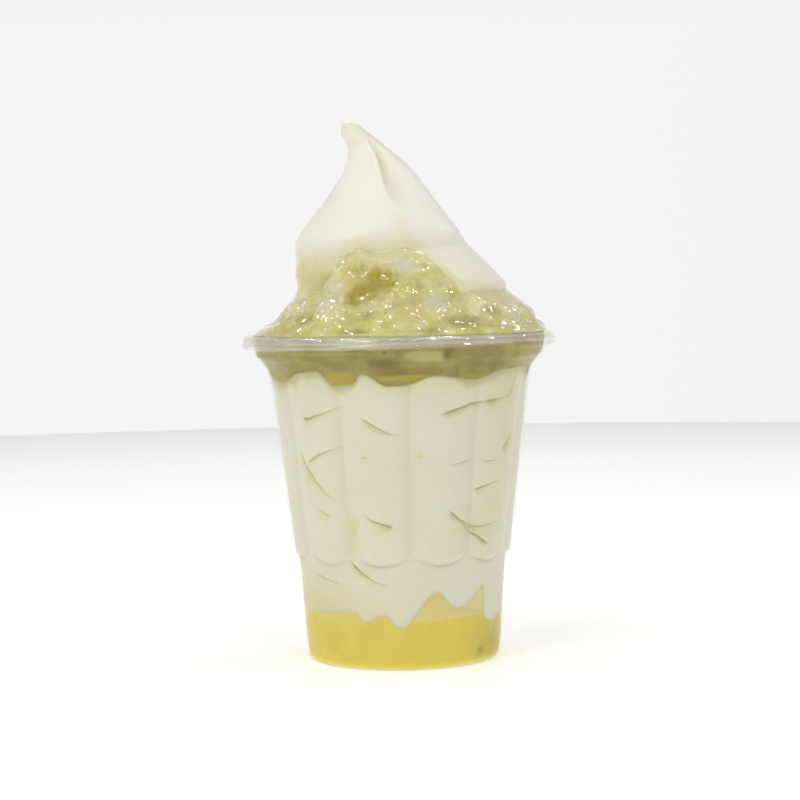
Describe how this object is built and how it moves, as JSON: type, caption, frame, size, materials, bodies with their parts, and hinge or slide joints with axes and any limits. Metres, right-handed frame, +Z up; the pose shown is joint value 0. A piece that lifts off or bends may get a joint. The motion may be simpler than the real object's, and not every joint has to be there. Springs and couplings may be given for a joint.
{
  "type": "coconut sundae",
  "caption": "Soft serve sundae with a leaning swirl, chunky coconut jam over it and coconut puree under it, in a clear fluted plastic cup.",
  "frame": {"origin": "middle of the cup's foot, on the surface that it stands on", "axes": "+Z up along the cup's axis; -Y is the front, the side that the picture shows; +X is its right"},
  "size_m": [0.0918, 0.0918, 0.1576],
  "materials": {
    "clear_plastic": "clear",
    "coconut_puree": "satin",
    "ice_cream": "satin",
    "coconut_jam": "glossy"
  },
  "bodies": {
    "root": {"cup": "clear_plastic", "coconut_puree": "coconut_puree", "ice_cream": "ice_cream", "coconut_jam": "coconut_jam"}
  },
  "joints": []
}
